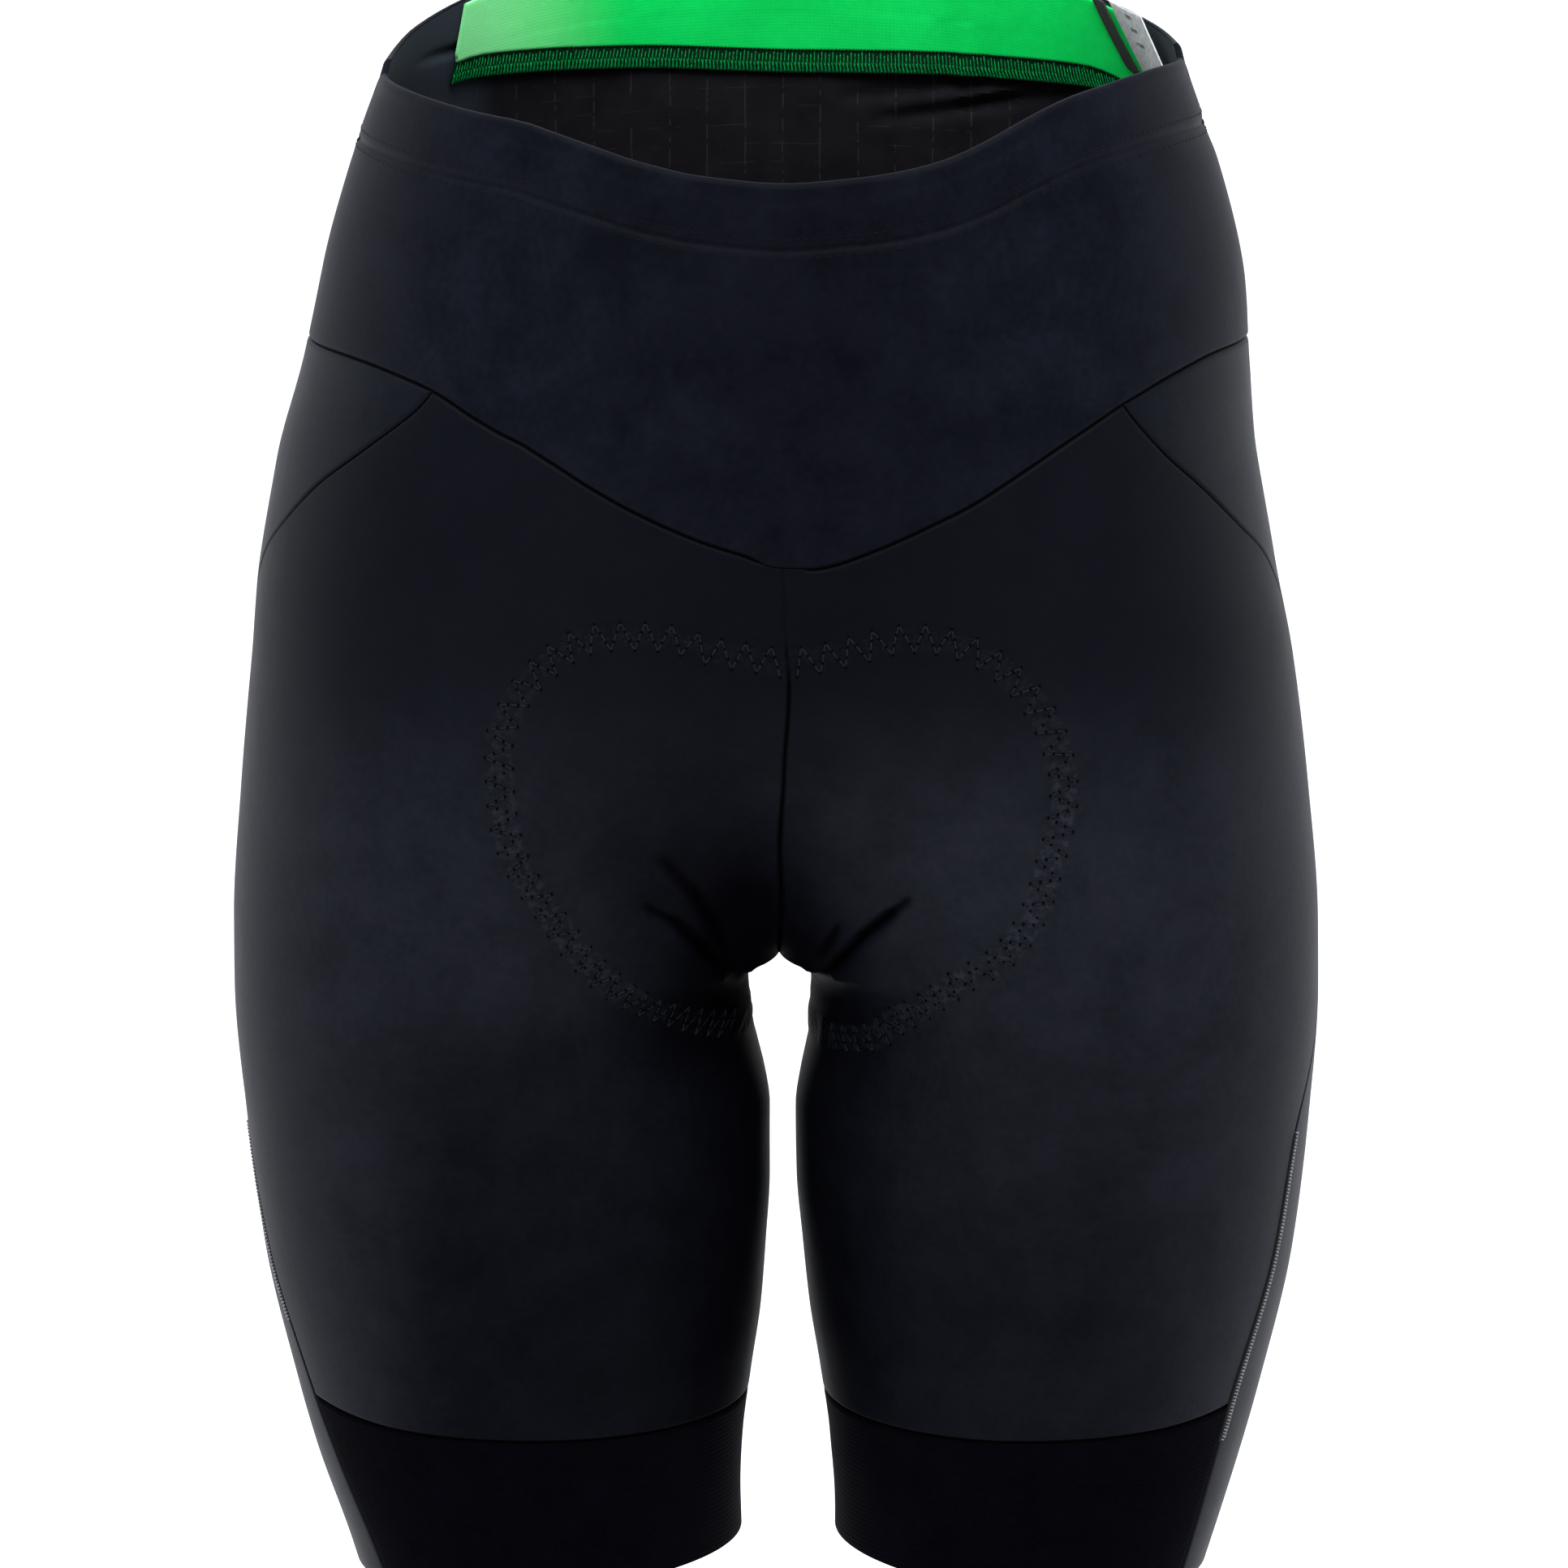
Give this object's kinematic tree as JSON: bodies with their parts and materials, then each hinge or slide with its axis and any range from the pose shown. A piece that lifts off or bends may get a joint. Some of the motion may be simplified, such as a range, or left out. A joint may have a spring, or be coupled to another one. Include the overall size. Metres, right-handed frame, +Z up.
{
  "type": "cycling shorts",
  "caption": "Close-fitting cycling shorts filled out as if worn, hollow, with a V-shaped waist yoke, side panels, leg bands, a stitched pad outline in front and a green facing inside the back",
  "frame": {"origin": "centre of the waist opening, 3 to 7 mm below its top edge at the sides", "axes": "+Z up out of the waist, +X to the wearer's left, the front faces -Y"},
  "size_m": [0.3557, 0.237, 0.525],
  "materials": {
    "yoke_front": "smooth stretch knit, navy black, faint sheen",
    "yoke_back": "brown-black stretch knit with fine light threads in a wide grid",
    "front_leg_l": "smooth stretch knit, navy black, faint sheen",
    "front_leg_r": "smooth stretch knit, navy black, faint sheen",
    "side_leg_l": "smooth stretch knit, slightly lighter blue-grey",
    "side_leg_r": "smooth stretch knit, slightly lighter blue-grey",
    "back_leg_l": "smooth stretch knit, navy black, faint sheen",
    "back_leg_r": "smooth stretch knit, navy black, faint sheen",
    "band_l": "matt firm elastic knit, brown-black",
    "band_r": "matt firm elastic knit, brown-black",
    "facing": "soft matt knit, bright green",
    "label": "satin tape, pale grey, bare",
    "label_strip": "woven tape, black"
  },
  "bodies": {
    "root": {"yoke_front": "yoke_front", "yoke_back": "yoke_back", "front_leg_l": "front_leg_l", "front_leg_r": "front_leg_r", "side_leg_l": "side_leg_l", "side_leg_r": "side_leg_r", "back_leg_l": "back_leg_l", "back_leg_r": "back_leg_r", "band_l": "band_l", "band_r": "band_r", "facing": "facing", "label": "label", "label_strip": "label_strip"}
  },
  "joints": []
}
